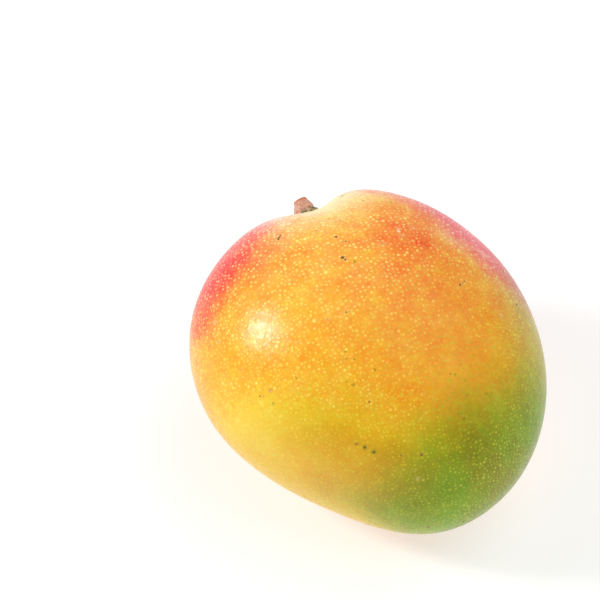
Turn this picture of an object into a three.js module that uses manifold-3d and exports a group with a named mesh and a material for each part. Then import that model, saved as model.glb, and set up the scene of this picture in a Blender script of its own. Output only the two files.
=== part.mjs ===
// A whole ripe mango lying on its cheek, with the cut stub of its stem.
// Millimetres, +Z up. The origin is the middle of the small flat spot that the fruit rests on.
// +Y runs along the fruit to its stem end, +X to its back, the fuller of its two narrow sides.

import * as THREE from 'three';
import { mergeVertices } from 'three/addons/utils/BufferGeometryUtils.js';
import Module from 'manifold-3d';

const wasm = await Module();
wasm.setup();

// Size of the plain egg that the fruit grows out of, before its shoulders, flats and cavity
const WIDTH = 110;
const LENGTH = 116;
const THICKNESS = 87;

// The stem end is wider and thicker than the tip, and the middle bows towards the belly side
const WIDER_AT_STEM = 0.10;
const THICKER_AT_STEM = 0.11;
const BOW = 7;

// Directions are degrees round from the long axis towards the back, then degrees up
const STEM_AT = [-7.5, 19.5];

// The cavity that the stem stands in is a short groove across the stem end
const CAVITY = { depth: 5.5, across: 8, along: 26, rim: 0.3, rimWidth: 0.05 };

// Soft swellings that stand out of the egg, each fading over its spread in degrees
const SWELLINGS = [
  { name: 'back shoulder', rise: 2.5, at: [21, -7], spread: 30 },
  { name: 'belly shoulder', rise: 2.3, at: [-40, 0], spread: 30 },
  { name: 'underside of the tip', rise: 4.6, at: [-164, -25], spread: 32 },
];

// Flattened sides: what reaches further than this short of the egg is pressed in softly
const FLATS = [
  { name: 'belly side above the tip', short: 2.8, at: [-132, -6], softness: 4.2 },
  { name: 'back below its shoulder', short: 3.4, at: [55, 12], softness: 9 },
];
const FLATTENING = 0.9;

// How the fruit lies: tipped back about X, rolled about Y, its middle this far from the rest spot
const TIP_BACK = 6.5;
const ROLL = 3.5;
const MIDDLE = new THREE.Vector3(5.7, -1.3, 42.2);

// The skin is a grid on the six faces of a cube, blown out to the fruit's shape
const GRID = 26;

// The stem stub, in heights above the floor of the cavity
const STUB_HEIGHT = 6.7;
const STUB_RADIUS = 2.45;
const STUB_FOOT_RADIUS = 3.2;
const STUB_LEAN = 0.45;
const COLLAR_RADIUS = 4.5;
const COLLAR_HEIGHT = 0.5;
const COLLAR_THICKNESS = 0.8;
const ROOT_RADIUS = 2.4;
const ROOT_DEPTH = 3.4;
const ROUND_SIDES = 28;

// Room left all round the root and the collar
const GAP = 0.3;

const radians = THREE.MathUtils.degToRad;
const HALF = new THREE.Vector3(WIDTH, LENGTH, THICKNESS).divideScalar(2);

function direction([round, up]) {
  const flat = Math.cos(radians(up));
  return new THREE.Vector3(
    Math.sin(radians(round)) * flat,
    Math.cos(radians(round)) * flat,
    Math.sin(radians(up)),
  );
}

const stemAxis = direction(STEM_AT);
const acrossStem = new THREE.Vector3(stemAxis.y, -stemAxis.x, 0).normalize();
const alongGroove = acrossStem.clone().cross(stemAxis);

function cavityDepth(u) {
  const open = 1 / (1 + Math.exp((CAVITY.rim - u.dot(stemAxis)) / CAVITY.rimWidth));
  const across = u.dot(acrossStem) / Math.sin(radians(CAVITY.across));
  const along = u.dot(alongGroove) / Math.sin(radians(CAVITY.along));
  return CAVITY.depth * open * Math.exp(-(across ** 2 + along ** 2) / 2);
}

function swell(u, { rise, at, spread }) {
  return rise * Math.exp((u.dot(direction(at)) - 1) / (1 - Math.cos(radians(spread))));
}

function pressIn(point, { short, at, softness }) {
  const outward = direction(at);
  const limit = outward.clone().multiply(HALF).length() - short;
  const beyond = Math.log1p(Math.exp((point.dot(outward) - limit) / softness));
  point.addScaledVector(outward, -FLATTENING * softness * beyond);
}

// The point of the skin that lies in unit direction u from the middle of the egg
function skinPoint(u) {
  const point = new THREE.Vector3(
    HALF.x * u.x * (1 + WIDER_AT_STEM * u.y) - BOW * (1 - u.y ** 2),
    HALF.y * u.y,
    HALF.z * u.z * (1 + THICKER_AT_STEM * u.y),
  );
  const outward = u.clone().divide(HALF).normalize();
  for (const swelling of SWELLINGS) point.addScaledVector(outward, swell(u, swelling));
  for (const flat of FLATS) pressIn(point, flat);
  return point.addScaledVector(stemAxis, -cavityDepth(u));
}

// Joining and cutting

function toManifold(geometry) {
  const bare = geometry.clone();
  bare.deleteAttribute('normal');
  bare.deleteAttribute('uv');
  const merged = mergeVertices(bare, 1e-4);
  return new wasm.Manifold(new wasm.Mesh({
    numProp: 3,
    vertProperties: new Float32Array(merged.attributes.position.array),
    triVerts: new Uint32Array(merged.index.array),
  }));
}

function toGeometry(manifold) {
  const { vertProperties, triVerts } = manifold.getMesh();
  const geometry = new THREE.BufferGeometry();
  geometry.setAttribute('position', new THREE.BufferAttribute(new Float32Array(vertProperties), 3));
  geometry.setIndex(new THREE.BufferAttribute(new Uint32Array(triVerts), 1));
  geometry.computeVertexNormals();
  return geometry;
}

// The groups that place the pieces: the fruit as it lies, and the stem's place in the cavity

const lying = new THREE.Group();
lying.position.copy(MIDDLE);
lying.rotation.set(radians(TIP_BACK), radians(ROLL), 0);
lying.updateMatrix();

const stemPlace = new THREE.Group();
stemPlace.position.copy(skinPoint(stemAxis));
stemPlace.quaternion.setFromUnitVectors(new THREE.Vector3(0, 0, 1), stemAxis);
stemPlace.updateMatrix();

// The fruit

function wholeSkin() {
  const geometry = new THREE.BoxGeometry(2, 2, 2, GRID, GRID, GRID);
  const position = geometry.attributes.position;
  const even = (value) => Math.tan(value * Math.PI / 4);
  for (let i = 0; i < position.count; i++) {
    const u = new THREE.Vector3().fromBufferAttribute(position, i);
    u.set(even(u.x), even(u.y), even(u.z)).normalize();
    const point = skinPoint(u);
    position.setXYZ(i, point.x, point.y, point.z);
  }
  return geometry;
}

// What lies below the surface that the fruit rests on, seen from the fruit
function groundBlock() {
  const depth = 20;
  const block = new THREE.BoxGeometry(WIDTH, LENGTH, depth);
  block.translate(0, 0, -depth / 2);
  return block.applyMatrix4(lying.matrix.clone().invert());
}

// A plain hole for the root under a shallow seat for the collar
function stemSocket() {
  const seat = COLLAR_HEIGHT - GAP;
  const clear = STUB_HEIGHT + GAP;
  const profile = [
    [0, -ROOT_DEPTH - GAP],
    [ROOT_RADIUS + GAP, -ROOT_DEPTH - GAP],
    [ROOT_RADIUS + GAP, seat],
    [COLLAR_RADIUS + GAP, seat],
    [COLLAR_RADIUS + GAP, clear],
    [0, clear],
  ].map(([radius, height]) => new THREE.Vector2(radius, height));
  const socket = new THREE.LatheGeometry(profile, ROUND_SIDES);
  socket.rotateX(Math.PI / 2);
  return socket.applyMatrix4(stemPlace.matrix);
}

function fruit() {
  const solid = toManifold(wholeSkin())
    .subtract(toManifold(groundBlock()))
    .subtract(toManifold(stemSocket()));
  const skin = new THREE.MeshStandardMaterial({ color: 0xf2b04c, roughness: 0.42, metalness: 0 });
  const mesh = new THREE.Mesh(toGeometry(solid), skin);
  mesh.name = 'mango_fruit';
  return mesh;
}

// The stem stub: root, collar and a short woody peg that flares to its foot, cut square on top

function stemStub() {
  const collarTop = COLLAR_HEIGHT + COLLAR_THICKNESS;
  const edge = 0.25;
  const profile = [
    [0, -ROOT_DEPTH],
    [ROOT_RADIUS, -ROOT_DEPTH],
    [ROOT_RADIUS, COLLAR_HEIGHT],
    [COLLAR_RADIUS - edge, COLLAR_HEIGHT],
    [COLLAR_RADIUS, COLLAR_HEIGHT + edge],
    [COLLAR_RADIUS - edge, collarTop],
    [STUB_FOOT_RADIUS, collarTop + edge],
    [STUB_FOOT_RADIUS - edge / 2, STUB_HEIGHT * 0.45],
    [(STUB_FOOT_RADIUS + STUB_RADIUS) / 2, STUB_HEIGHT * 0.8],
    [STUB_RADIUS, STUB_HEIGHT - edge],
    [STUB_RADIUS - edge, STUB_HEIGHT],
    [0, STUB_HEIGHT],
  ].map(([radius, height]) => new THREE.Vector2(radius, height));
  const peg = new THREE.LatheGeometry(profile, ROUND_SIDES);
  peg.rotateX(Math.PI / 2);

  // The peg leans a little towards the back as it rises
  const position = peg.attributes.position;
  for (let i = 0; i < position.count; i++) {
    const rise = Math.max(0, (position.getZ(i) - collarTop) / (STUB_HEIGHT - collarTop));
    position.setX(i, position.getX(i) + STUB_LEAN * rise);
  }

  const bark = new THREE.MeshStandardMaterial({ color: 0xb98a63, roughness: 0.8, metalness: 0 });
  const mesh = new THREE.Mesh(toGeometry(toManifold(peg)), bark);
  mesh.name = 'stem_stub';
  return mesh;
}

const mango = new THREE.Group();
stemPlace.add(stemStub());
lying.add(fruit(), stemPlace);
mango.add(lying);

export default mango;
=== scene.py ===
"""A whole ripe mango lying on its cheek, with the cut stub of its stem. Metres, +Z up."""
import math

import bpy
import numpy as np
from mathutils import Euler, Matrix, Vector
from mathutils.kdtree import KDTree


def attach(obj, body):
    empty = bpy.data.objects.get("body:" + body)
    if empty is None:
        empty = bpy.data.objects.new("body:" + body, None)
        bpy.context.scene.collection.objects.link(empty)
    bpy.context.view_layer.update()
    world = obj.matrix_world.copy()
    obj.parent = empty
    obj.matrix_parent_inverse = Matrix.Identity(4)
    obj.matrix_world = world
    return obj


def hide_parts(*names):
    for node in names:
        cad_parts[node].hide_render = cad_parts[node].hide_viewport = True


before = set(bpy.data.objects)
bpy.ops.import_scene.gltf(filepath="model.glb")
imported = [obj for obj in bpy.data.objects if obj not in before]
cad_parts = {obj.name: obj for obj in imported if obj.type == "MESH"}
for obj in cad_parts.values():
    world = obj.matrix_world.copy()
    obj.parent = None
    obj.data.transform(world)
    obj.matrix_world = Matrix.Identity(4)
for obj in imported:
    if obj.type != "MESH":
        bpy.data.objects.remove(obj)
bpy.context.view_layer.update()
SEED = 7
rng = np.random.default_rng(SEED)

# The fruit's form, in millimetres and degrees, as in the solid part
WIDTH, LENGTH, THICKNESS = 110, 116, 87
WIDER_AT_STEM, THICKER_AT_STEM, BOW = 0.10, 0.11, 7
STEM_AT = (-7.5, 19.5)
CAVITY_DEPTH, CAVITY_ACROSS, CAVITY_ALONG = 5.5, 8, 26
CAVITY_RIM, CAVITY_RIM_WIDTH = 0.3, 0.05
SWELLINGS = {
    "back shoulder": dict(rise=2.5, at=(21, -7), spread=30),
    "belly shoulder": dict(rise=2.3, at=(-40, 0), spread=30),
    "underside of the tip": dict(rise=4.6, at=(-164, -25), spread=32),
}
FLATS = {
    "belly side above the tip": dict(short=2.8, at=(-132, -6), softness=4.2),
    "back below its shoulder": dict(short=3.4, at=(55, 12), softness=9),
}
FLATTENING = 0.9
TIP_BACK, ROLL = 6.5, 3.5
MIDDLE = Vector((5.7, -1.3, 42.2))
MM = 0.001

# Shallow unevenness of the skin: how many waves, how fast they run and how high they are in millimetres
RIPPLES, RIPPLE_PACE, RIPPLE_HEIGHT = 14, (4, 13), (0.02, 0.06)

# The cube that the skin is blown out of: squares along each edge, and how finely its corners are matched
GRID, CORNER_STEPS = 128, 1e6

# The view of the photograph: turned and raised, with the fruit right of and below the middle
CAMERA_TURN, CAMERA_RISE, CAMERA_DISTANCE = -25, 47.8, 529.5
CAMERA_LEFT, CAMERA_UP = 28.8, 16.5
LENS, SENSOR, NEAREST = 100, 36, 10

WHITE = (1, 1, 1, 1)

HALF = np.array([WIDTH, LENGTH, THICKNESS]) / 2
LYING = Matrix.Rotation(math.radians(TIP_BACK), 3, "X") @ Matrix.Rotation(math.radians(ROLL), 3, "Y")


def direction(at):
    """The unit direction at a turn from the stem end towards the back, and a rise, in degrees."""
    turn, rise = np.radians(at)
    return np.array([math.sin(turn) * math.cos(rise), math.cos(turn) * math.cos(rise), math.sin(rise)])


def near_direction(unit, at, spread):
    """One in the given direction, falling off smoothly around it over the spread in degrees."""
    return np.exp((unit @ direction(at) - 1) / (1 - math.cos(math.radians(spread))))


def camera_axes():
    """The camera's right, up and back directions."""
    return Euler((math.pi / 2 - math.radians(CAMERA_RISE), 0, math.radians(CAMERA_TURN))).to_matrix().col


def colour(red, green, blue):
    """A colour given in 0 to 255, as linear light by the sRGB curve."""
    def linear(value):
        value /= 255
        return value / 12.92 if value <= 0.04045 else ((value + 0.055) / 1.055) ** 2.4
    return (linear(red), linear(green), linear(blue), 1.0)


STEM_AXIS = direction(STEM_AT)
ACROSS_STEM = np.array([STEM_AXIS[1], -STEM_AXIS[0], 0]) / math.hypot(*STEM_AXIS[:2])
ALONG_GROOVE = np.cross(ACROSS_STEM, STEM_AXIS)


def outward_from(unit):
    """Directions that stand out of the plain egg under the form, at the given unit directions."""
    outward = unit / HALF
    return outward / np.linalg.norm(outward, axis=1, keepdims=True)


def skin_points(unit):
    """Points of the skin, in the fruit's own millimetres, in the given unit directions from its middle."""
    x, y, z = unit.T
    point = np.stack([
        HALF[0] * x * (1 + WIDER_AT_STEM * y) - BOW * (1 - y ** 2),
        HALF[1] * y,
        HALF[2] * z * (1 + THICKER_AT_STEM * y),
    ], -1)
    outward = outward_from(unit)
    for form in SWELLINGS.values():
        point += outward * (form["rise"] * near_direction(unit, form["at"], form["spread"]))[:, None]
    for form in FLATS.values():
        facing = direction(form["at"])
        limit = np.linalg.norm(facing * HALF) - form["short"]
        beyond = np.logaddexp(0, (point @ facing - limit) / form["softness"])
        point -= facing * (FLATTENING * form["softness"] * beyond)[:, None]
    open_end = 1 / (1 + np.exp((CAVITY_RIM - unit @ STEM_AXIS) / CAVITY_RIM_WIDTH))
    across = unit @ ACROSS_STEM / math.sin(math.radians(CAVITY_ACROSS))
    along = unit @ ALONG_GROOVE / math.sin(math.radians(CAVITY_ALONG))
    depth = CAVITY_DEPTH * open_end * np.exp(-(across ** 2 + along ** 2) / 2)
    return point - STEM_AXIS * depth[:, None]


def place(points):
    """Own millimetres to the part's frame in metres."""
    return (points @ np.array(LYING).T + np.array(MIDDLE)) * MM


def ripples(unit):
    """Broad waves that no two sides share, in millimetres."""
    total = np.zeros(len(unit))
    for _ in range(RIPPLES):
        wave = rng.normal(size=3)
        wave *= rng.uniform(*RIPPLE_PACE) / np.linalg.norm(wave)
        phase = rng.uniform(0, 2 * math.pi)
        total += np.sin(unit @ wave + phase) * rng.uniform(*RIPPLE_HEIGHT)
    return total


def cube_grid(count):
    """Unit directions, quads and face-corner places of a cube-shaped grid, its edges shared."""
    edge = np.tan(np.linspace(-math.pi / 4, math.pi / 4, count + 1))
    first, second = np.meshgrid(edge, edge, indexing="ij")
    corners, quads, cells = [], [], []
    index = np.arange((count + 1) ** 2).reshape(count + 1, count + 1)
    quad = np.stack([index[:-1, :-1], index[1:, :-1], index[1:, 1:], index[:-1, 1:]], -1).reshape(-1, 4)
    for axis in range(3):
        for side in (-1, 1):
            face = np.empty((count + 1, count + 1, 3))
            face[..., axis] = side
            face[..., (axis + 1) % 3] = first
            face[..., (axis + 2) % 3] = second
            turned = quad if side > 0 else quad[:, ::-1]
            quads.append(turned + len(corners) * (count + 1) ** 2)
            cells.append(np.stack(np.divmod(turned, count + 1), -1) / count)
            corners.append(face.reshape(-1, 3))
    corners = np.vstack(corners)
    keys = np.round(corners * CORNER_STEPS).astype(np.int64)
    _, keep, shared = np.unique(keys, axis=0, return_index=True, return_inverse=True)
    unit = corners[keep]
    unit /= np.linalg.norm(unit, axis=1, keepdims=True)
    return unit, shared.ravel()[np.vstack(quads)], cells


def mesh_object(name, points, faces):
    mesh = bpy.data.meshes.new(name)
    mesh.from_pydata(points.tolist(), [], faces)
    mesh.update()
    mesh.polygons.foreach_set("use_smooth", [True] * len(mesh.polygons))
    piece = bpy.data.objects.new(name, mesh)
    bpy.context.collection.objects.link(piece)
    return piece


def face_vectors(mesh, name, values):
    """Stores one vector for each face, for the material to read."""
    attribute = mesh.attributes.new(name, "FLOAT_VECTOR", "FACE")
    attribute.data.foreach_set("vector", np.ascontiguousarray(values, dtype=np.float32).ravel())


# Pores: pale dots, larger and wider apart towards the stem end, and green in one part past the middle

# Gaps, sizes and shifts are in millimetres, places and spreads in degrees, and the rest are shares
PORE_GAP_STEM, PORE_GAP_TIP = 1.4, 0.9
PORE_SIZE_STEM, PORE_SIZE_TIP = 0.62, 0.43
PORE_SHIFT, PORE_SIZE_SPREAD = 0.2, 0.22
PALEST, PALENESS_CURVE, LEAST_PALENESS = 1.105, (2.8, 1.6), 0.05
PALER_PORES = {
    "belly shoulder": dict(at=(-48, 24), spread=24, paler=0.45),
    "middle": dict(at=(175, 62), spread=22, paler=-0.2),
    "tip": dict(at=(-178, 2), spread=30, paler=0.5),
    "green pores": dict(at=(170, 46), spread=14, paler=-0.4),
    # Painted sheen: the pores are faded on the pale rim of the cavity, where the painted gloss lies over
    # them.
    "painted sheen at the rim of the cavity": dict(at=(2, 40), spread=12, paler=-0.5),
}
GREEN_PORES_AT, GREEN_PORES_SPREAD = (170, 47), 16
GREENISH_AT, GREENISH_SPREAD, GREENISH = (60, 76), 26, 0.35
GREEN_ELSEWHERE, DARKER, GREEN_STRENGTH = 0.28, 3.2, (0.1, 0.9)


def scatter_pores(centres, toward_stem):
    """Picks face centres at random, each keeping its gap to those picked before it."""
    gap = PORE_GAP_TIP + (PORE_GAP_STEM - PORE_GAP_TIP) * toward_stem
    cell = PORE_GAP_STEM
    taken, picked = {}, []
    for face in rng.permutation(len(centres)):
        here = centres[face]
        key = tuple((here // cell).astype(int))
        near = (
            other
            for i in (-1, 0, 1) for j in (-1, 0, 1) for k in (-1, 0, 1)
            for other in taken.get((key[0] + i, key[1] + j, key[2] + k), ())
        )
        reach = gap[face] ** 2
        if all(((here - centres[other]) ** 2).sum() > reach for other in near):
            taken.setdefault(key, []).append(face)
            picked.append(face)
    return np.array(picked)


def nearest(centres, targets):
    """The index of the target nearest to each centre."""
    tree = KDTree(len(targets))
    for index, target in enumerate(targets):
        tree.insert(target, index)
    tree.balance()
    return np.array([tree.find(centre)[1] for centre in centres])


def add_pores(mesh, centres, directions):
    toward_stem = np.clip(centres[:, 1] / LENGTH + 0.5, 0, 1)
    picked = scatter_pores(centres, toward_stem)
    count = len(picked)
    pores = centres[picked] + rng.uniform(-PORE_SHIFT, PORE_SHIFT, (count, 3))
    size = PORE_SIZE_TIP + (PORE_SIZE_STEM - PORE_SIZE_TIP) * toward_stem[picked]
    size *= rng.lognormal(0, PORE_SIZE_SPREAD, count)
    facing = directions[picked]
    paleness = PALEST * rng.beta(*PALENESS_CURVE, count)
    for zone in PALER_PORES.values():
        paleness *= 1 + zone["paler"] * near_direction(facing, zone["at"], zone["spread"])
    dark = near_direction(facing, GREEN_PORES_AT, GREEN_PORES_SPREAD)
    chance = GREEN_ELSEWHERE + dark + GREENISH * near_direction(facing, GREENISH_AT, GREENISH_SPREAD)
    strength = rng.uniform(*GREEN_STRENGTH, count) * (1 + DARKER * dark)
    green = strength * (rng.uniform(size=count) < chance)
    owner = nearest(centres, pores)
    face_vectors(mesh, "pore_centre", place(pores[owner]))
    look = np.stack([size * MM, np.clip(paleness, LEAST_PALENESS, 1), green], -1)
    face_vectors(mesh, "pore_look", look[owner])


# Marks on the skin

# Each kind's colours, with how much its core and its rim show. A heart is another colour inside the core.
MARK_KINDS = {
    "speck": dict(core=(58, 40, 34), cover=0.9, rim=(255, 220, 150), halo=0.16),
    "brown": dict(core=(128, 58, 26), cover=0.8, rim=(250, 190, 90), halo=0.1),
    "grey": dict(core=(182, 144, 96), cover=0.5, rim=(245, 200, 120), halo=0.15),
    "scar": dict(core=(252, 206, 176), cover=0.7, rim=(226, 160, 80), halo=0.15),
    "olive": dict(core=(140, 112, 14), cover=0.55, rim=(226, 170, 24), halo=0.45),
    "green": dict(core=(84, 112, 22), cover=0.6, rim=(190, 160, 28), halo=0.35),
    "ring": dict(core=(150, 84, 36), cover=0.85, rim=(240, 180, 80), halo=0.2, heart=(238, 176, 140)),
    "pale ring": dict(core=(250, 206, 160), cover=0.75, rim=(246, 160, 80), halo=0.2, heart=(232, 116, 62)),
    "eye": dict(core=(210, 196, 100), cover=0.6, rim=(196, 176, 40), halo=0.15, heart=(90, 78, 36)),
    "pale": dict(core=(206, 194, 112), cover=0.5, rim=(200, 182, 66), halo=0.2),
    "green speck": dict(core=(56, 46, 26), cover=0.9, rim=(132, 138, 20), halo=0.7),
    "orange": dict(core=(232, 132, 30), cover=0.6, rim=(250, 180, 70), halo=0.3),
}

# Each mark's turn and rise in degrees, and its size in millimetres
MARKS = {
    "speck": [
        (-36.5, 48, 0.5), (-37.7, 48.2, 0.6), (-39, 48.5, 0.6), (-25, 67, 0.6), (-45, 74, 0.7),
        (-47, 75, 0.5), (-109, 70, 0.45), (-110, 70.6, 0.35), (112, 67, 0.5), (108, 65, 0.35),
        (-27, 59, 0.35), (-10, 60, 0.35), (-24, 71, 0.4),
    ],
    "brown": [
        (-23, 72, 0.35), (110, 66, 0.3), (176, 55, 0.35), (-160, 29, 0.6), (-138, 28, 0.35),
        (-105, 28, 0.3), (-104, 27, 0.3), (-141, 46, 0.4), (-153, 28, 0.3), (122, 51, 0.3), (-148, -31, 0.9),
    ],
    "grey": [
        (-42, 54, 0.6), (12, 78, 0.7), (-103, 64, 0.6), (38, 74, 0.6), (73, 64, 0.5), (73, 69, 0.6),
        (-49, 43, 0.4),
    ],
    "scar": [(34, 72, 0.8), (33, 71, 0.6), (121, 50.5, 0.6), (40, 73, 0.5), (47, 68, 0.5), (-15, 57, 0.5)],
    "olive": [
        (-59, 60, 0.4), (-46, 78, 0.55), (-142, 57, 0.55), (-133, 50, 0.7), (-130, 50, 0.35),
        (-105, 42, 0.35),
    ],
    "green": [
        (-138.4, 28.4, 0.6), (-124, 59, 0.25), (-126, 57, 0.25), (-130, 58, 0.25),
        (-109, 28, 0.35), (164, 44, 0.4), (163, 43.5, 0.35), (173, 47, 0.35), (-179, 42, 0.4),
        (134, 37, 0.45), (128, 37, 0.5), (-111, 42, 0.3),
    ],
    "ring": [(-106, 32, 0.6)],
    "pale ring": [(-71, 26, 0.8), (-79, 26, 0.6)],
    "eye": [(-169, 25, 0.5), (-157, 22, 0.5)],
    "pale": [(-158, 18, 0.8)],
    "green speck": [(-141, 28, 0.42), (-144, 27, 0.46)],
    "orange": [
        (-14, 56, 0.8), (-12, 57, 0.6), (-21, 67, 0.9), (-24.5, 46.6, 0.6), (-22.5, 46.2, 0.6),
        (-20.5, 45.6, 0.6), (-34, 48, 0.5),
    ],
}
UNSEEN_MARKS, UNSEEN_TURN, UNSEEN_SIZE = 70, 65, (0.3, 0.8)


def add_marks(mesh, centres, directions):
    """The marks that the photograph shows, and some at random where it doesn't reach."""
    marks = [(kind, direction(at), size) for kind, group in MARKS.items() for *at, size in group]
    seen_from = np.array(LYING.transposed() @ camera_axes()[2])
    unseen = np.flatnonzero(directions @ seen_from < math.cos(math.radians(UNSEEN_TURN)))
    for face in rng.choice(unseen, UNSEEN_MARKS, replace=False):
        kind = list(MARK_KINDS)[rng.integers(len(MARK_KINDS))]
        marks.append((kind, directions[face], rng.uniform(*UNSEEN_SIZE)))
    kinds, facing, sizes = zip(*marks)
    kinds = [MARK_KINDS[kind] for kind in kinds]
    spots = skin_points(np.array(facing))
    owner = nearest(centres, spots)
    face_vectors(mesh, "mark_centre", place(spots[owner]))
    for name in ("core", "rim", "heart"):
        paint = np.array([colour(*kind.get(name, kind["core"]))[:3] for kind in kinds])
        face_vectors(mesh, "mark_" + name, paint[owner])
    look = np.array([(size * MM, kind["cover"], kind["halo"]) for size, kind in zip(sizes, kinds)])
    face_vectors(mesh, "mark_look", look[owner])


# The texture map: the cube's six faces side by side, with a margin round each

MAP_COLUMNS, MAP_ROWS, MAP_MARGIN = 3, 2, 0.01


def add_map(mesh, cells):
    layer = mesh.uv_layers.new(name="OFBake")
    corners = []
    for index, cell in enumerate(cells):
        corner = np.array(divmod(index, MAP_ROWS)) + MAP_MARGIN + cell * (1 - 2 * MAP_MARGIN)
        corners.append(corner / (MAP_COLUMNS, MAP_ROWS))
    layer.uv.foreach_set("vector", np.vstack(corners).astype(np.float32).ravel())


def make_fruit():
    unit, quads, cells = cube_grid(GRID)
    own = skin_points(unit) + outward_from(unit) * ripples(unit)[:, None]
    points = place(own)
    points[:, 2] = np.maximum(points[:, 2], 0)
    fruit = mesh_object("mango_skin", points, quads.tolist())
    add_map(fruit.data, cells)
    centres = own[quads].mean(1)
    directions = unit[quads].mean(1)
    add_pores(fruit.data, centres, directions)
    add_marks(fruit.data, centres, directions)
    return fruit


# Material helpers

NOISE_MIDDLE = 0.5


class Tree:
    """A material's node tree, with one short method for each kind of node."""

    def __init__(self, name):
        self.material = bpy.data.materials.new(name)
        self.material.use_nodes = True
        self.nodes = self.material.node_tree.nodes
        self.links = self.material.node_tree.links
        self.shader = self.nodes["Principled BSDF"]

    def feed(self, socket, value):
        if isinstance(value, bpy.types.NodeSocket):
            self.links.new(value, socket)
        else:
            socket.default_value = value

    def add(self, kind, **settings):
        node = self.nodes.new(kind)
        for name, value in settings.items():
            setattr(node, name, value)
        return node

    def math(self, operation, *values):
        node = self.add("ShaderNodeMath", operation=operation)
        for socket, value in zip(node.inputs, values):
            self.feed(socket, value)
        return node.outputs[0]

    def vector(self, operation, *values, scale=None):
        node = self.add("ShaderNodeVectorMath", operation=operation)
        for socket, value in zip(node.inputs, values):
            self.feed(socket, value)
        if scale is not None:
            self.feed(node.inputs["Scale"], scale)
        scalar = operation in ("DOT_PRODUCT", "LENGTH", "DISTANCE")
        return node.outputs["Value" if scalar else "Vector"]

    def parts(self, vector):
        node = self.add("ShaderNodeSeparateXYZ")
        self.feed(node.inputs[0], vector)
        return node.outputs

    def step(self, value, start, end, low=0.0, high=1.0):
        """From low where the value is at start to high at end, smoothly."""
        node = self.add("ShaderNodeMapRange", interpolation_type="SMOOTHSTEP")
        for socket, item in zip(node.inputs, (value, start, end, low, high)):
            self.feed(socket, item)
        return node.outputs[0]

    def mix(self, factor, first, second, blend="MIX"):
        node = self.add("ShaderNodeMix", data_type="RGBA", blend_type=blend, clamp_factor=True)
        self.feed(node.inputs[0], factor)
        self.feed(node.inputs[6], first)
        self.feed(node.inputs[7], second)
        return node.outputs[2]

    def coat(self, paint, value, start, full, tint, cover=1.0):
        """Lays a tint over the paint: none where the value is at start, as much as its cover at full."""
        return self.mix(self.math("MULTIPLY", self.step(value, start, full), cover), paint, colour(*tint))

    def power(self, tint, share):
        node = self.add("ShaderNodeGamma")
        self.feed(node.inputs["Color"], tint)
        self.feed(node.inputs["Gamma"], share)
        return node.outputs[0]

    def noise(self, where, scale, detail=3.0, roughness=0.5, colour=False):
        node = self.add("ShaderNodeTexNoise")
        self.feed(node.inputs["Vector"], where)
        for name, value in (("Scale", scale), ("Detail", detail), ("Roughness", roughness)):
            node.inputs[name].default_value = value
        return node.outputs["Color" if colour else "Fac"]

    def swing(self, noise):
        """A noise made to swing evenly round nought, by a half either way."""
        return self.math("SUBTRACT", noise, NOISE_MIDDLE)

    def here(self):
        return self.add("ShaderNodeTexCoord").outputs["Object"]

    def own_place(self, origin, rotation, scale):
        """Object coordinates turned back into a piece's own axes and divided by a scale."""
        node = self.add("ShaderNodeMapping", vector_type="TEXTURE")
        self.feed(node.inputs["Vector"], self.here())
        node.inputs["Location"].default_value = origin
        node.inputs["Rotation"].default_value = rotation.to_euler("XYZ")
        node.inputs["Scale"].default_value = scale
        return node.outputs[0]

    def attribute(self, name):
        return self.add("ShaderNodeAttribute", attribute_name=name).outputs["Vector"]

    def bump(self, height, distance):
        node = self.add("ShaderNodeBump")
        node.inputs["Distance"].default_value = distance
        self.feed(node.inputs["Height"], height)
        self.links.new(node.outputs[0], self.shader.inputs["Normal"])

    def set(self, **values):
        for name, value in values.items():
            self.feed(self.shader.inputs[name.replace("_", " ")], value)


# The skin's paint and gloss

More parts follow.
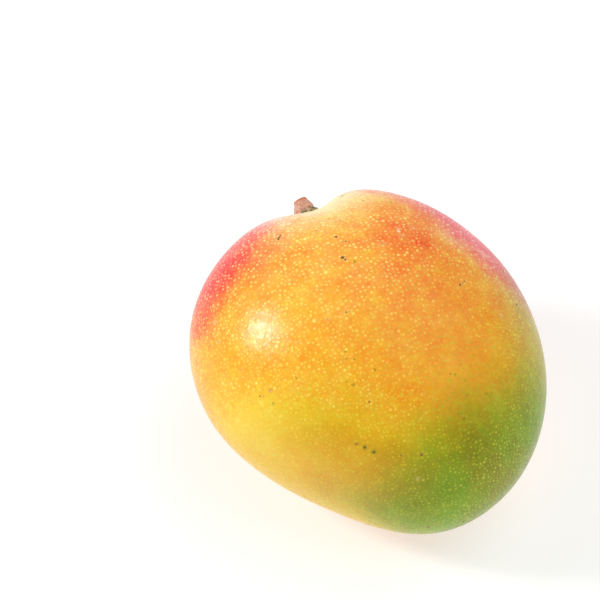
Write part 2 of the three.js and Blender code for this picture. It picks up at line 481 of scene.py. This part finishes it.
# A pigment's tint is what one share of it leaves of white light. Noise of its scale, in waves to the
# millimetre, makes it cloudy by a part of itself and spotted by a share, and a pore has less of it. A zone
# is a round patch in degrees, full inside its edge less its blur and gone past its edge plus its blur.
PIGMENTS = {
    "yellow": dict(
        tint=(0.97, 0.68, 0.09), everywhere=1.55, cloudy=0.36, spotted=0.25, scale=0.13, out_of_pore=0.38,
        zones={
            "stem end": dict(at=(-9, 52), edge=52, blur=30, share=-0.55),
            # Painted sheen: less yellow here paints the pale gloss that lies along the rim of the cavity.
            "painted sheen at the rim of the cavity": dict(at=(-10, 38), edge=22, blur=11, share=-0.56),
            "belly below the middle": dict(at=(-137, 11), edge=24, blur=12, share=0.7),
            "ochre back": dict(at=(145, 51), edge=26, blur=10, share=0.05),
            "pink back": dict(at=(68, 28), edge=36, blur=10, share=-0.85),
            "pink edge": dict(at=(85, 50), edge=13, blur=13, share=-0.2),
            "belly shoulder": dict(at=(-43, 22), edge=20, blur=14, share=-0.42),
            "middle above the tip": dict(at=(-160, 22), edge=16, blur=14, share=0.12),
            "belly side": dict(at=(-110, 13), edge=14, blur=14, share=-0.32),
            "right of the tip": dict(at=(143, 26), edge=14, blur=12, share=0.45),
            "heart of the green": dict(at=(-176, 27), edge=8, blur=10, share=0.6),
            "pale patch": dict(at=(66, 68), edge=3, blur=7, share=-0.35),
            "underside of the tip": dict(at=(150, -10), edge=42, blur=16, share=-0.3),
        },
    ),
    "red": dict(
        tint=(0.93, 0.16, 0.30), everywhere=0.225, cloudy=1.0, spotted=0.32, scale=0.17, out_of_pore=0.88,
        zones={
            "belly shoulder": dict(at=(-50, 18), edge=15, blur=14, share=1.85),
            "belly shoulder, low": dict(at=(-30, 4), edge=15, blur=15, share=0.8),
            "round the belly shoulder": dict(at=(-50, 37), edge=17, blur=14, share=0.25),
            "back shoulder": dict(at=(58, 14), edge=42, blur=16, share=1.75),
            "pink edge": dict(at=(85, 50), edge=13, blur=13, share=0.16),
            "orange band": dict(at=(26, 78), edge=10, blur=10, share=0.28),
            "round the orange band": dict(at=(30, 84), edge=24, blur=22, share=0.2),
            "belly": dict(at=(-134, -2), edge=38, blur=20, share=-0.4),
            "above the tip": dict(at=(-160, 20), edge=15, blur=13, share=-0.14),
            "right of the tip": dict(at=(143, 26), edge=18, blur=13, share=-0.13),
            "above the green": dict(at=(174, 38), edge=12, blur=12, share=-0.1),
            "pale patch": dict(at=(66, 68), edge=3, blur=7, share=-0.12),
            # Painted sheen: less red here goes with the pale gloss painted on the rim of the cavity.
            "cavity": dict(at=(-12, 42), edge=20, blur=12, share=-0.12),
            "below the stem": dict(at=(5, -25), edge=32, blur=26, share=0.55),
        },
    ),
    "green": dict(
        tint=(0.24, 0.66, 0.18), everywhere=0.08, cloudy=0.3, spotted=0.1, scale=0.15, out_of_pore=0.55,
        zones={
            "tip": dict(at=(173, 2), edge=38, blur=16, share=0.86),
            "back edge": dict(at=(116, 15), edge=34, blur=18, share=0.46),
            "underside": dict(at=(-142, -8), edge=14, blur=14, share=0.22),
            "belly": dict(at=(-134, 25), edge=16, blur=14, share=0.12),
        },
    ),
}
CLOUDS, SPOTS, SPOTS_FINER = dict(detail=5.0, roughness=0.6), dict(detail=3.0, roughness=0.6), 3.7

# How noise bends the edges of the zones
BENDS = {
    "clouds": dict(push=0.14, noise=dict(scale=0.05, detail=2.0)),
    "patches": dict(push=0.11, noise=dict(scale=0.22, detail=4.0, roughness=0.6)),
}

# Where a pore and a mark begin and are full, in their own sizes out from the middle
PORE, GREEN_HEART, GREEN_HEART_SHARE = (1.0, 0.3), (0.8, 0.1), 0.26
MARK_RIM, MARK_CORE, MARK_HEART = (2.8, 0.6), (1.1, 0.4), (0.6, 0.3)
RAGGED, RAGGEDNESS = dict(scale=1.6, detail=2.0), 1.6

# Relief and gloss: the skin's ripples, pores that stand up a little, and marks that are sunk and rough
BROAD_RIPPLE, FINE_RIPPLE = dict(scale=0.4, detail=1.0), dict(scale=1.3, detail=2.0, roughness=0.6)
FINE_RIPPLE_HEIGHT, PORE_HEIGHT, MARK_HEIGHT, SKIN_BUMP = 0.45, 0.15, -0.6, 0.0001
GLOSS, GLOSS_BETWEEN = dict(scale=0.5, detail=3.0), (0.3, 0.7)
SKIN_ROUGHNESS, MARK_ROUGHER, SKIN_SPECULAR = (0.22, 0.32), 0.4, 0.28


def pigment_share(tree, pigment, toward, own, pore):
    """How much of a pigment lies at each point of the skin."""
    share = pigment["everywhere"]
    for zone in pigment["zones"].values():
        away = tree.math("ARCCOSINE", tree.vector("DOT_PRODUCT", toward, Vector(direction(zone["at"]))))
        outer, inner = (math.radians(zone["edge"] + side * zone["blur"]) for side in (1, -1))
        share = tree.math("MULTIPLY_ADD", tree.step(away, outer, inner), zone["share"], share)
    clouds = tree.swing(tree.noise(own, pigment["scale"], **CLOUDS))
    spots = tree.swing(tree.noise(own, pigment["scale"] * SPOTS_FINER, **SPOTS))
    share = tree.math("MULTIPLY", share, tree.math("MULTIPLY_ADD", clouds, pigment["cloudy"] * 2, 1.0))
    share = tree.math("MULTIPLY_ADD", spots, pigment["spotted"], share)
    left = tree.math("MULTIPLY_ADD", pore, -pigment["out_of_pore"], 1.0)
    return tree.math("MULTIPLY", tree.math("MAXIMUM", share, 0.0), left)


def pore_nodes(tree, here):
    """How far a point lies inside its pore, from 0 to 1, and how green that pore is."""
    size, paleness, green = tree.parts(tree.attribute("pore_look"))
    away = tree.math("DIVIDE", tree.vector("DISTANCE", here, tree.attribute("pore_centre")), size)
    pore = tree.math("MULTIPLY", tree.step(away, *PORE), paleness)
    heart = tree.math("MULTIPLY", tree.step(away, *GREEN_HEART), green)
    return pore, heart


def mark_nodes(tree, here, own, paint):
    """The paint with the marks on it, and how far a point lies inside its mark."""
    size, cover, halo = tree.parts(tree.attribute("mark_look"))
    away = tree.math("DIVIDE", tree.vector("DISTANCE", here, tree.attribute("mark_centre")), size)
    away = tree.math("MULTIPLY_ADD", tree.swing(tree.noise(own, **RAGGED)), RAGGEDNESS, away)
    rim = tree.math("MULTIPLY", tree.step(away, *MARK_RIM), halo)
    core = tree.math("MULTIPLY", tree.step(away, *MARK_CORE), cover)
    heart = tree.step(away, *MARK_HEART)
    middle = tree.mix(heart, tree.attribute("mark_core"), tree.attribute("mark_heart"))
    paint = tree.mix(rim, paint, tree.attribute("mark_rim"))
    return tree.mix(core, paint, middle), core


def skin_material():
    tree = Tree("mango skin")
    origin = MIDDLE * MM
    here = tree.here()
    own = tree.own_place(origin, LYING, (MM, MM, MM))
    toward = tree.vector("NORMALIZE", tree.own_place(origin, LYING, HALF * MM))
    for bend in BENDS.values():
        noise = tree.noise(own, colour=True, **bend["noise"])
        swing = tree.vector("SUBTRACT", noise, (NOISE_MIDDLE,) * 3)
        toward = tree.vector("ADD", toward, tree.vector("SCALE", swing, scale=bend["push"]))
    toward = tree.vector("NORMALIZE", toward)

    pore, heart = pore_nodes(tree, here)
    paint = WHITE
    for name, pigment in PIGMENTS.items():
        share = pigment_share(tree, pigment, toward, own, pore)
        if name == "green":
            share = tree.math("MULTIPLY_ADD", heart, GREEN_HEART_SHARE, share)
        paint = tree.mix(1.0, paint, tree.power((*pigment["tint"], 1), share), "MULTIPLY")
    paint, mark = mark_nodes(tree, here, own, paint)

    fine, broad = tree.noise(own, **FINE_RIPPLE), tree.noise(own, **BROAD_RIPPLE)
    relief = tree.math("MULTIPLY_ADD", fine, FINE_RIPPLE_HEIGHT, broad)
    relief = tree.math("MULTIPLY_ADD", pore, PORE_HEIGHT, relief)
    tree.bump(tree.math("MULTIPLY_ADD", mark, MARK_HEIGHT, relief), SKIN_BUMP)
    roughness = tree.step(tree.noise(own, **GLOSS), *GLOSS_BETWEEN, *SKIN_ROUGHNESS)
    roughness = tree.math("MULTIPLY_ADD", mark, MARK_ROUGHER, roughness)
    tree.set(Base_Color=paint, Roughness=roughness, Specular_IOR_Level=SKIN_SPECULAR)
    return tree.material


fruit = make_fruit()
fruit.data.materials.append(skin_material())
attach(fruit, "root")
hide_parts("mango_fruit")

# The stem stub: a bark peg on a lobed collar, cut on top

# A profile's points are heights above the floor of the cavity and radii, in millimetres
STUB_AROUND, STUB_UP, STUB_TOP = 160, 110, 6.1
COLLAR_PROFILE = [(-0.6, 4.1), (0.3, 4.6), (0.8, 4.65), (1.15, 4.4), (1.35, 4.0), (1.4, 3.6)]
PEG_PROFILE = [
    (1.8, 3.4), (2.4, 3.55), (3.1, 3.4), (4.2, 2.85), (5.1, 2.4), (5.7, 2.25), (5.95, 2.2), (6.08, 2.05),
]
CUT_PROFILE = [(6.1, 1.9), (6.02, 1.78), (6.04, 1.2), (5.95, 0.6), (5.7, 0.42), (5.6, 0.05)]
STUB_LEAN = Vector((0.8, 0, 0))
BARK_STARTS, BARK_GROWS, BARK_RADIUS = 1.2, 0.6, 2.2
COLLAR_ENDS, COLLAR_FADES = 1.5, 0.4

# Waves round the stub: how many are summed, how often they go round, and their height in millimetres
RIDGES = dict(count=8, rounds=(9, 30), height=0.05)
FURROWS = dict(count=5, rounds=(5, 14), height=0.08)
LUMPS, LUMPS_CLOSER = dict(count=5, rounds=(1, 4), height=0.1), 2.5
LOBES = dict(count=5, rounds=(3, 9), height=0.2)
CUT_WAVES = dict(count=6, rounds=(3, 12), height=0.03)
COLLAR_WAVES = dict(count=5, rounds=(3, 8), height=0.1)
WAVE_DRIFT, WAVE_SHARE = 0.6, (0.4, 1)


def waves(turn, rise, count, rounds, height):
    """Sums waves that close round the stub and drift a little as they climb."""
    total = np.zeros(np.broadcast(turn, rise).shape)
    for _ in range(count):
        around = rng.integers(*rounds)
        drift, phase = rng.uniform(-WAVE_DRIFT, WAVE_DRIFT), rng.uniform(0, 2 * math.pi)
        total += np.sin(turn * around + rise * drift + phase) * rng.uniform(*WAVE_SHARE)
    return total * height / math.sqrt(count)


def stub_points():
    """Rings of points up the stub and in over its cut, in its own millimetres."""
    profile = np.array(COLLAR_PROFILE + PEG_PROFILE + CUT_PROFILE)
    steps = np.concatenate([[0], np.cumsum(np.hypot(*np.diff(profile, axis=0).T))])
    along = np.linspace(0, steps[-1], STUB_UP)
    rise = np.interp(along, steps, profile[:, 0])[:, None]
    radius = np.interp(along, steps, profile[:, 1])[:, None]
    turn = np.linspace(0, 2 * math.pi, STUB_AROUND, endpoint=False)[None, :]
    bark = np.clip((rise - BARK_STARTS) / BARK_GROWS, 0, 1) * np.clip(radius / BARK_RADIUS, 0, 1)
    collar = np.clip((COLLAR_ENDS - rise) / COLLAR_FADES, 0, 1)
    ridges = waves(turn, rise, **RIDGES) - np.abs(waves(turn, rise, **FURROWS))
    lumps = waves(turn, rise * LUMPS_CLOSER, **LUMPS)
    lobes = waves(turn, rise, **LOBES)
    radius = radius + bark * (ridges + lumps) + collar * (lobes + ridges)
    rise = rise + (1 - bark) * (1 - collar) * waves(turn, radius, **CUT_WAVES)
    rise = rise + collar * waves(turn, radius, **COLLAR_WAVES)
    own = np.stack([radius * np.cos(turn), radius * np.sin(turn), rise], -1).reshape(-1, 3)
    return own + np.clip(own[:, 2:] / STUB_TOP, 0, 1) * np.array(STUB_LEAN)


def make_stub():
    own = stub_points()
    index = np.arange(STUB_UP * STUB_AROUND).reshape(STUB_UP, STUB_AROUND)
    beside = np.roll(index, -1, axis=1)
    quads = np.stack([index[:-1], beside[:-1], beside[1:], index[1:]], -1).reshape(-1, 4)
    foot, top = len(own), len(own) + 1
    own = np.vstack([own, own[index[0]].mean(0), own[index[-1]].mean(0)])
    closing = [(after, before, foot) for before, after in zip(index[0].tolist(), beside[0].tolist())]
    closing += [(before, after, top) for before, after in zip(index[-1].tolist(), beside[-1].tolist())]
    return mesh_object("stem_bark", stem_place(own), quads.tolist() + closing)


def stem_turn():
    """The turn from the stub's own axes, with +Z along the stem, to the part's frame."""
    return LYING @ Vector((0, 0, 1)).rotation_difference(Vector(STEM_AXIS)).to_matrix()


def stem_origin():
    return Vector(place(skin_points(STEM_AXIS[None]))[0])


def stem_place(points):
    return points @ np.array(stem_turn()).T * MM + np.array(stem_origin())


# Noises of the stub, in waves to the millimetre
GRAIN, ALONG_GRAIN = dict(scale=2.2, detail=5.0, roughness=0.65), (1, 1, 0.25)
FLECKS = dict(scale=3.2, detail=3.0, roughness=0.7)
BLOTCH = dict(scale=0.7, detail=4.0, roughness=0.6)

# A coat starts and is full where its noise has the two values, or else where the height up the stub or
# the distance out from its middle has them, in millimetres
BARK, COLLAR, WOOD = (184, 130, 104), (98, 80, 48), (196, 190, 116)
COATS = {
    "pinker bark": dict(start=0.35, full=0.65, tint=(208, 158, 136)),
    "pale grain": dict(start=0.5, full=0.72, cover=0.7, tint=(226, 194, 180)),
    "brown grain": dict(start=0.46, full=0.3, cover=0.55, tint=(146, 92, 62)),
    "dark flecks": dict(start=0.66, full=0.74, cover=0.9, tint=(104, 54, 34)),
    "raw edge": dict(start=5.2, full=5.9, cover=0.85, tint=(188, 98, 44)),
    "paler collar": dict(start=0.4, full=0.6, tint=(172, 156, 120)),
    "black of the collar": dict(start=0.55, full=0.66, tint=(44, 34, 22)),
    "inner wood": dict(start=1.85, full=1.2, tint=(168, 148, 88)),
    "pith": dict(start=0.75, full=0.4, tint=(38, 28, 18)),
}
RAW_EDGE_RAGGEDNESS, COLLAR_RAGGEDNESS, COLLAR_UP_TO = 1.6, 2.2, (2.1, 1.3)
CUT_INSIDE, CUT_ABOVE = (2.0, 1.85), (5.4, 5.6)
VESSELS, VESSELS_INSIDE, VESSEL_TINT = (0.52, 0.6), (1.8, 1.5), (70, 58, 30)
FLECK_HEIGHT, BARK_BUMP, BARK_SPECULAR = 0.5, 0.00015, 0.3
BARK_GLOSS_BETWEEN, BARK_ROUGHNESS = (0.3, 0.7), (0.85, 0.6)


def bark_material():
    tree = Tree("stem bark")
    own = tree.own_place(stem_origin(), stem_turn(), (MM, MM, MM))
    rise = tree.parts(own)[2]
    leaning = tree.vector("SCALE", STUB_LEAN, scale=tree.math("DIVIDE", rise, STUB_TOP))
    level = tree.vector("MULTIPLY", tree.vector("SUBTRACT", own, leaning), (1, 1, 0))
    across = tree.vector("LENGTH", level)
    grain = tree.noise(tree.vector("MULTIPLY", own, ALONG_GRAIN), **GRAIN)
    flecks = tree.noise(own, **FLECKS)
    blotch = tree.noise(own, **BLOTCH)

    bark = tree.coat(colour(*BARK), blotch, **COATS["pinker bark"])
    bark = tree.coat(bark, grain, **COATS["pale grain"])
    bark = tree.coat(bark, grain, **COATS["brown grain"])
    bark = tree.coat(bark, flecks, **COATS["dark flecks"])
    ragged = tree.math("MULTIPLY_ADD", tree.swing(grain), RAW_EDGE_RAGGEDNESS, rise)
    bark = tree.coat(bark, ragged, **COATS["raw edge"])

    collar = tree.coat(colour(*COLLAR), blotch, **COATS["paler collar"])
    collar = tree.coat(collar, flecks, **COATS["black of the collar"])
    ragged = tree.math("MULTIPLY_ADD", tree.swing(blotch), COLLAR_RAGGEDNESS, rise)
    paint = tree.mix(tree.step(ragged, *COLLAR_UP_TO), bark, collar)

    wood = tree.coat(colour(*WOOD), across, **COATS["inner wood"])
    wood = tree.coat(wood, across, **COATS["pith"])
    vessels = tree.math("MULTIPLY", tree.step(flecks, *VESSELS), tree.step(across, *VESSELS_INSIDE))
    wood = tree.mix(vessels, wood, colour(*VESSEL_TINT))
    on_cut = tree.math("MULTIPLY", tree.step(across, *CUT_INSIDE), tree.step(rise, *CUT_ABOVE))
    paint = tree.mix(on_cut, paint, wood)

    tree.bump(tree.math("MULTIPLY_ADD", flecks, FLECK_HEIGHT, grain), BARK_BUMP)
    roughness = tree.step(grain, *BARK_GLOSS_BETWEEN, *BARK_ROUGHNESS)
    tree.set(Base_Color=paint, Roughness=roughness, Specular_IOR_Level=BARK_SPECULAR)
    return tree.material


stub = make_stub()
stub.data.materials.append(bark_material())
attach(stub, "root")
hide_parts("stem_stub")

# Floor, light and camera, in metres and watts

FLOOR_SIZE, FLOOR_GREY, FLOOR_ROUGHNESS = 6, (0.5, 0.5, 0.5, 1), 0.6
FLOOR_GLOW, FLOOR_GLOW_TINT = 0.545, (1, 1, 0.98, 1)
WALL_LIGHT, CEILING_LIGHT, WALL_TOP = 0.72, 0.22, 0.8
LIGHTS = {
    "window": dict(toward=(-0.69, 0.315, 0.56), distance=0.9, size=(0.18, 0.26), power=5.6),
    "bounce": dict(toward=(0.5, -0.15, 0.85), distance=1.2, size=(1.2, 1.2), power=9.6, glossy=False),
}


def lay_floor():
    bpy.ops.mesh.primitive_plane_add(size=FLOOR_SIZE)
    floor = bpy.context.object
    floor.name = "floor"
    tree = Tree("floor")
    tree.set(Base_Color=FLOOR_GREY, Roughness=FLOOR_ROUGHNESS)
    tree.set(Emission_Color=FLOOR_GLOW_TINT, Emission_Strength=FLOOR_GLOW)
    floor.data.materials.append(tree.material)


def light_room():
    """Pale light from all sides that fades from the walls to the ceiling."""
    world = bpy.data.worlds.new("studio")
    bpy.context.scene.world = world
    world.use_nodes = True
    nodes, links = world.node_tree.nodes, world.node_tree.links
    height = nodes.new("ShaderNodeSeparateXYZ")
    links.new(nodes.new("ShaderNodeTexCoord").outputs["Generated"], height.inputs[0])
    fade = nodes.new("ShaderNodeMapRange")
    links.new(height.outputs["Z"], fade.inputs["Value"])
    fade.inputs["From Max"].default_value = WALL_TOP
    fade.inputs["To Min"].default_value = WALL_LIGHT
    fade.inputs["To Max"].default_value = CEILING_LIGHT
    nodes["Background"].inputs["Color"].default_value = WHITE
    links.new(fade.outputs[0], nodes["Background"].inputs["Strength"])


def area_light(name, toward, distance, size, power, glossy=True):
    light = bpy.data.lights.new(name, "AREA")
    light.shape = "RECTANGLE"
    light.size, light.size_y = size
    light.energy = power
    lamp = bpy.data.objects.new(name, light)
    toward = Vector(toward).normalized()
    lamp.location = MIDDLE * MM + toward * distance
    lamp.rotation_euler = toward.to_track_quat("Z", "Y").to_euler()
    lamp.visible_glossy = glossy
    bpy.context.collection.objects.link(lamp)


def aim_camera():
    right, up, back = camera_axes()
    camera = bpy.data.objects.new("camera", bpy.data.cameras.new("camera"))
    camera.location = (MIDDLE - right * CAMERA_LEFT + up * CAMERA_UP + back * CAMERA_DISTANCE) * MM
    camera.rotation_euler = Matrix((right, up, back)).transposed().to_euler()
    camera.data.lens, camera.data.sensor_width = LENS, SENSOR
    camera.data.clip_start = NEAREST * MM
    bpy.context.collection.objects.link(camera)
    bpy.context.scene.camera = camera


lay_floor()
light_room()
for name, light in LIGHTS.items():
    area_light(name, **light)
aim_camera()
bpy.context.scene.view_settings.view_transform = "Standard"
